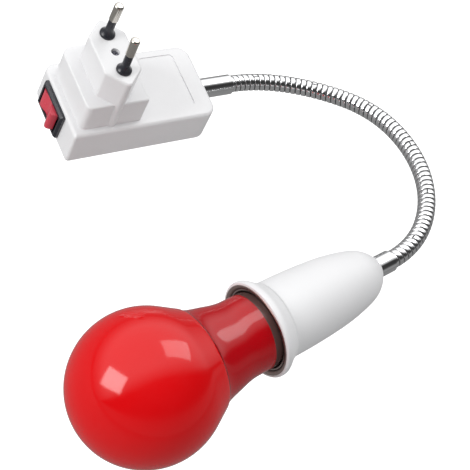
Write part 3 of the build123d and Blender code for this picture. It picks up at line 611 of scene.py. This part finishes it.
def make_neck():
    """The wound tube and its flex, each cut at the middle of every stretch. The first pieces ride on the
    adapter and the last on the holder; those across the joints ride on no body.
    """
    spans = len(LINE.arcs)
    middles = [index * NECK_TURNS + NECK_TURNS // 2 for index in range(spans)]
    cuts = [-FERRULE_TURNS, *middles, spans * NECK_TURNS + FERRULE_TURNS]
    for index, (low, high) in enumerate(zip(cuts, cuts[1:])):
        tube = wound_tube(f"neck_wound_{index}", low, high)
        flex = flex_tube(f"neck_sheath_{index}", low, high)
        for piece, node in ((tube, "neck_span"), (flex, "neck_flex")):
            if index < spans:
                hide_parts(f"{node}_{index + 1}")
            if index == 0:
                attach(piece, NECK_BODIES[0])
            elif index == spans:
                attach(piece, NECK_BODIES[-1])
            else:
                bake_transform(piece)


# Lamp

def globe_outline():
    """The globe to its tangent circle, the straight taper, and the rolled edge at the seam."""
    tangent_r = sqrt(GLOBE_R ** 2 - TAPER_START ** 2)
    seam_r = tangent_r - (SEAM - TAPER_START) * TAPER_START / tangent_r
    first, last = -pi / 2, atan2(TAPER_START, tangent_r)
    turns = [first + (last - first) * row / GLOBE_ROWS for row in range(1, GLOBE_ROWS + 1)]
    globe = [(-GLOBE_R, 0.0)] + [(GLOBE_R * sin(turn), GLOBE_R * cos(turn)) for turn in turns]
    edge = [(SEAM + along, seam_r + out) for along, out in GLOBE_EDGE]
    length, narrowing = edge[0][0] - TAPER_START, tangent_r - edge[0][1]
    shares = [row / TAPER_ROWS for row in range(1, TAPER_ROWS)]
    taper = [(TAPER_START + length * share, tangent_r - narrowing * share) for share in shares]
    return globe + taper + edge + [(SEAM, 0.0)]


def make_lamp():
    """The globe. The lamp's other pieces keep their nodes' shapes."""
    globe = lathe("lamp_globe", globe_outline())
    dress(globe, LAMP_RED)
    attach(globe, "lamp")
    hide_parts("bulb_dome")


# Holder's mouth

def rim_ring(name, section, material):
    """A ring at the holder's mouth, lathed from a coarse section and rounded."""
    ring = lathe(name, [(RIM + along, RIM_R + out) for along, out in section], closed=True)
    subdivide_once(ring)
    dress(ring, material)
    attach(ring, "holder")


def make_mouth():
    """The socket's rolled metal lip over the rim's end, and the rim's white collar behind it."""
    rim_ring("socket_lip", LIP_SECTION, SOCKET_METAL)
    rim_ring("rim_collar", COLLAR_SECTION, SHELL_WHITE)


# Switch

def rocker_outline():
    """The rocker's side view: a hollow face between two crests, softened shoulders, and the hub below."""
    crest, valley, skirt = [BEZEL_PROUD + rise for rise in (ROCKER_CREST, ROCKER_VALLEY, ROCKER_SKIRT)]
    shares = [step / HOLLOW_STEPS for step in range(HOLLOW_STEPS + 1)]
    hollow = [(ROCKER_CREST_AT * (2 * share - 1), crest - (crest - valley) * (1 - cos(2 * pi * share)) / 2)
              for share in shares]
    reach = ROCKER_HALF - ROCKER_CREST_AT
    turns = [pi / 2 * step / SHOULDER_STEPS for step in range(1, SHOULDER_STEPS)]
    shoulder = [(ROCKER_CREST_AT + reach * sin(turn), skirt + (crest - skirt) * cos(turn) ** ROCKER_FULLNESS)
                for turn in turns]
    shoulder.append((ROCKER_HALF + ROCKER_FLARE, skirt))
    hub = [(ROCKER_HUB_HALF, -ROCKER_PIVOT_DEPTH), (ROCKER_HUB_HALF, -ROCKER_PIVOT_DEPTH - ROCKER_HUB_DEPTH)]
    half = shoulder + hub
    return hollow + half + [(-along, out) for along, out in reversed(half)]


def rocker_place(along, out):
    """Where a point of the side view lies, with the rocker tilted about its pivot."""
    lean = radians(ROCKER_TILT)
    rise = out + ROCKER_PIVOT_DEPTH
    tilted_along = along * cos(lean) - rise * sin(lean)
    tilted_out = along * sin(lean) + rise * cos(lean) - ROCKER_PIVOT_DEPTH
    return SWITCH_PLACE + SWITCH_ALONG * tilted_along + SWITCH_OUT * tilted_out


def make_rocker():
    """The red rocker with its hollowed face and softened edges, in place of the source's two flats."""
    outline = [rocker_place(along, out) for along, out in rocker_outline()]
    vertices = [place + SWITCH_ACROSS * side for side in (-ROCKER_HALF_WIDTH, ROCKER_HALF_WIDTH)
                for place in outline]
    count = len(outline)
    faces = [tuple(range(count)), tuple(range(2 * count - 1, count - 1, -1))]
    faces += [(n, n + count, (n + 1) % count + count, (n + 1) % count) for n in range(count)]
    rocker = new_object("rocker_paddle", vertices, faces)
    keep_sharp_edges(rocker)
    dress(rocker, ROCKER_RED)
    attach(rocker, "rocker")
    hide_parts("switch_rocker")


# Pin sleeves

def sleeve_section():
    """A sleeve's closed section: its seat in the housing, its conical foot and its slim reach."""
    seat = [(-SLEEVE_SEAT_DEPTH, SLEEVE_BORE_R), (-SLEEVE_SEAT_DEPTH, SLEEVE_SEAT_R),
            (SLEEVE_SEAT_TOP, SLEEVE_SEAT_R)]
    cone = [(SLEEVE_FOOT_BASE, SLEEVE_FOOT_R)] + [(height, SLEEVE_R + wider) for height, wider in SLEEVE_CONE]
    end = [(SLEEVE_REACH - SLEEVE_EDGE, SLEEVE_R), (SLEEVE_REACH, SLEEVE_R - SLEEVE_EDGE),
           (SLEEVE_REACH, SLEEVE_BORE_R)]
    return seat + cone + end


def make_sleeves():
    """Black sleeves that widen in a cone to their foot on the plug face, one along each leaning pin."""
    for mount in frame["record"]["mounts"]:
        if mount["kind"] != "pin":
            continue
        name = mount["name"].removesuffix("_tip") + "_sleeve"
        tip, axis = Vector(mount["pos_m"]) / MM, Vector(mount["axis"])
        foot = tip - axis * (tip.z / axis.z)
        sleeve = lathe(
            f"{name}_moulded", sleeve_section(), closed=True, steps=SLEEVE_STEPS, centre=foot, axis=axis,
        )
        keep_sharp_edges(sleeve)
        dress(sleeve, BLACK)
        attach(sleeve, "adapter")
        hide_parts(name)


# Stage

def turned(right, up, back, place):
    """The matrix of an object from its three directions and its place."""
    return Matrix.Translation(place) @ Matrix((right, up, back)).transposed().to_4x4()


def make_camera():
    """The camera at the photograph's viewing angle."""
    data = bpy.data.cameras.new("camera")
    data.sensor_fit = "HORIZONTAL"
    data.sensor_width = SENSOR_WIDTH
    data.lens = SENSOR_WIDTH * FOCAL_PIXELS / IMAGE_SIDE
    data.clip_start, data.clip_end = CAMERA_RANGE
    camera = bpy.data.objects.new("camera", data)
    bpy.context.scene.collection.objects.link(camera)
    camera.matrix_world = turned(CAMERA_RIGHT, CAMERA_UP, CAMERA_BACK, CAMERA_PLACE)
    bpy.context.scene.camera = camera


def softbox(name, way, size, wide, watts):
    """A rectangular light that faces the globe from one way, with its width laid along another."""
    data = bpy.data.lights.new(name, "AREA")
    data.shape = "RECTANGLE"
    data.size, data.size_y = size
    data.energy = watts
    light = bpy.data.objects.new(name, data)
    bpy.context.scene.collection.objects.link(light)
    target = GLOBE_CENTRE * MM
    place = target + Vector(way) * SOFTBOX_DISTANCE
    back = (place - target).normalized()
    right = (Vector(wide) - back * Vector(wide).dot(back)).normalized()
    light.matrix_world = turned(right, back.cross(right), back, place)


def make_lights():
    """A key light and a weaker fill."""
    softbox("key", **KEY)
    softbox("fill", **FILL)


def sky_level(graph, parts):
    """The sky that lights the part: brighter above and behind."""
    above = graph.graded(parts["Z"], *SKY_BY_HEIGHT)
    behind = graph.graded(parts["Y"], *SKY_BY_DEPTH)
    return graph.joined("ADD", above, behind)


def room_level(graph, way, parts):
    """The room that gloss shows: dim in front, bright behind, with a dark strip high in front."""
    front = graph.graded(parts["Z"], *ROOM_FRONT_BY_HEIGHT)
    wall = graph.graded(parts["Y"], *ROOM_WALL_BY_DEPTH)
    raised = graph.graded(parts["Z"], *ROOM_WALL_BY_HEIGHT)
    lit = graph.joined("MAXIMUM", front, graph.joined("MULTIPLY", wall, raised))
    across = graph.add("ShaderNodeVectorMath", {0: way, 1: NO_SIDEWAYS}, operation="MULTIPLY")["Vector"]
    level = graph.add("ShaderNodeVectorMath", {0: across}, operation="NORMALIZE")["Vector"]
    beyond = graph.graded(graph.along(level, STRIP_WAY), *STRIP_LEVELS)
    return graph.joined("MULTIPLY", lit, beyond)


def make_world():
    """White behind the object, a soft sky that lights it, and a room for its gloss."""
    world = bpy.data.worlds.new("studio")
    bpy.context.scene.world = world
    graph = Graph(world)
    way = graph.add("ShaderNodeTexCoord")["Generated"]
    parts = graph.add("ShaderNodeSeparateXYZ", {"Vector": way})
    path = graph.add("ShaderNodeLightPath")
    sky, room = sky_level(graph, parts), room_level(graph, way, parts)
    strength = graph.mixed(path["Is Glossy Ray"], sky, room, "FLOAT")
    strength = graph.mixed(path["Is Camera Ray"], strength, WHITE_LEVEL, "FLOAT")
    strength = graph.mixed(path["Is Transmission Ray"], strength, WHITE_LEVEL, "FLOAT")
    background = graph.nodes["Background"]
    graph.feed(background.inputs["Color"], (1, 1, 1))
    graph.feed(background.inputs["Strength"], strength)


def floor_paper():
    """Pale matt paper that reads as white to the camera, is dimmer in gloss and is clear from beneath."""
    paper = Finish("floor_paper")
    path = paper.add("ShaderNodeLightPath")
    plain = paper.mixed(paper.noise(PAPER_GRAIN_SCALE), PAPER_DARK, PAPER_LIGHT)
    paper.set("Base Color", paper.mixed(path["Is Glossy Ray"], plain, PAPER_IN_GLOSS))
    paper.set("Roughness", PAPER_ROUGHNESS)
    paper.set("Specular IOR Level", 0.0)
    paper.set("Emission Color", (1, 1, 1))
    paper.set("Emission Strength", paper.joined("MULTIPLY", path["Is Camera Ray"], FLOOR_LIFT))
    beneath = paper.add("ShaderNodeNewGeometry")["Backfacing"]
    clear = paper.add("ShaderNodeBsdfTransparent")["BSDF"]
    sides = {"Fac": beneath, 1: paper.shader.outputs["BSDF"], 2: clear}
    surface = paper.add("ShaderNodeMixShader", sides)["Shader"]
    paper.feed(paper.nodes["Material Output"].inputs["Surface"], surface)
    return paper.material


def make_floor():
    """The floor. The part hangs by its plug, so it lies below the lowest place that the lamp reaches."""
    half, low = FLOOR_HALF, -PLUG_FACE - FLOOR_DROP
    corners = [(-half, -half, low), (half, -half, low), (half, half, low), (-half, half, low)]
    floor = new_object("floor", corners, [(0, 1, 2, 3)], smooth=False)
    dress(floor, floor_paper())


dress_carried_nodes()
make_neck()
make_lamp()
make_mouth()
make_rocker()
make_sleeves()
make_camera()
make_lights()
make_world()
make_floor()

bpy.context.scene.view_settings.view_transform = "Standard"
